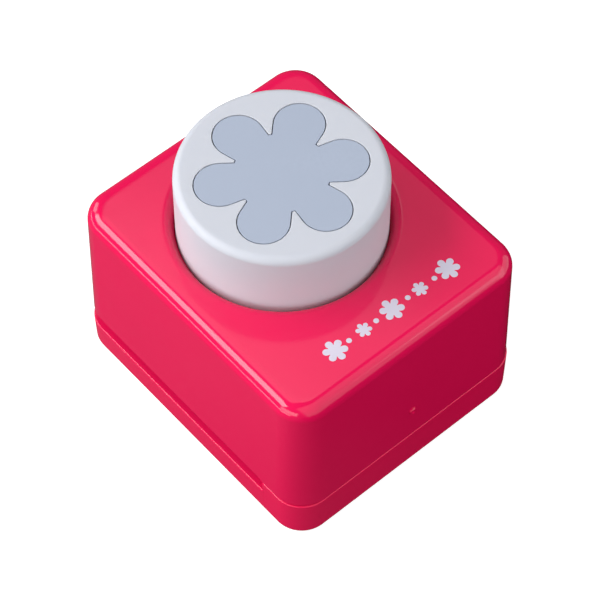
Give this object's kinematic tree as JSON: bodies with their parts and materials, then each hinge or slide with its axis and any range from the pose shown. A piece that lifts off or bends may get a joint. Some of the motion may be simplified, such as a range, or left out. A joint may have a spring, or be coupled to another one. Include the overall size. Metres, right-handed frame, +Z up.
{
  "type": "craft punch",
  "caption": "Square push-button paper punch: a sprung round button drives a flower-shaped cutter through a paper slot that is open at the back and sides.",
  "frame": {"origin": "middle of the underside, on the surface that the punch stands on", "axes": "+Z up, along the button's stroke; +Y towards the open back of the paper slot; -Y is the closed front; X across"},
  "size_m": [0.0794, 0.0916, 0.0767],
  "materials": {
    "case_red": "glossy moulded plastic, pinkish red",
    "base_red": "slightly duller moulded plastic, pinkish red",
    "button_white": "satin moulded plastic, cool white",
    "inlay_grey": "satin, silvery blue-grey",
    "ram_white": "unpainted moulded plastic",
    "plate_steel": "rolled and ground",
    "punch_steel": "ground cutting face",
    "post_steel": "polished",
    "spring_steel": "drawn wire",
    "bush_brass": "turned",
    "screw_steel": "zinc plated"
  },
  "bodies": {
    "housing": {"upper_case": "case_red", "base_tray": "base_red", "die_plate": "plate_steel", "stripper_plate": "plate_steel", "paper_stop": "plate_steel", "guide_post_1": "post_steel", "guide_post_2": "post_steel", "guide_post_3": "post_steel", "guide_post_4": "post_steel", "return_spring_1": "spring_steel", "return_spring_2": "spring_steel", "return_spring_3": "spring_steel", "return_spring_4": "spring_steel", "stripper_screw_1": "screw_steel", "stripper_screw_2": "screw_steel", "stripper_screw_3": "screw_steel", "stripper_screw_4": "screw_steel", "die_screw_1": "screw_steel", "die_screw_2": "screw_steel", "die_screw_3": "screw_steel", "die_screw_4": "screw_steel", "stack_screw_1": "screw_steel", "stack_screw_2": "screw_steel", "base_screw_1": "screw_steel", "base_screw_2": "screw_steel"},
    "plunger": {"button_cap": "button_white", "flower_inlay": "inlay_grey", "press_ram": "ram_white", "punch": "punch_steel", "ram_bush_1": "bush_brass", "ram_bush_2": "bush_brass", "ram_bush_3": "bush_brass", "ram_bush_4": "bush_brass", "cap_screw_1": "screw_steel", "cap_screw_2": "screw_steel", "cap_screw_3": "screw_steel", "cap_screw_4": "screw_steel", "punch_screw_1": "screw_steel", "punch_screw_2": "screw_steel", "punch_screw_3": "screw_steel"}
  },
  "joints": [
    {"name": "button_press", "type": "slide", "parent": "housing", "child": "plunger", "axis": [0, 0, -1], "range_m": [0, 0.008], "stiffness_N_per_m": 2600, "springref_m": -0.006, "deforming": ["return_spring_1", "return_spring_2", "return_spring_3", "return_spring_4"]}
  ]
}
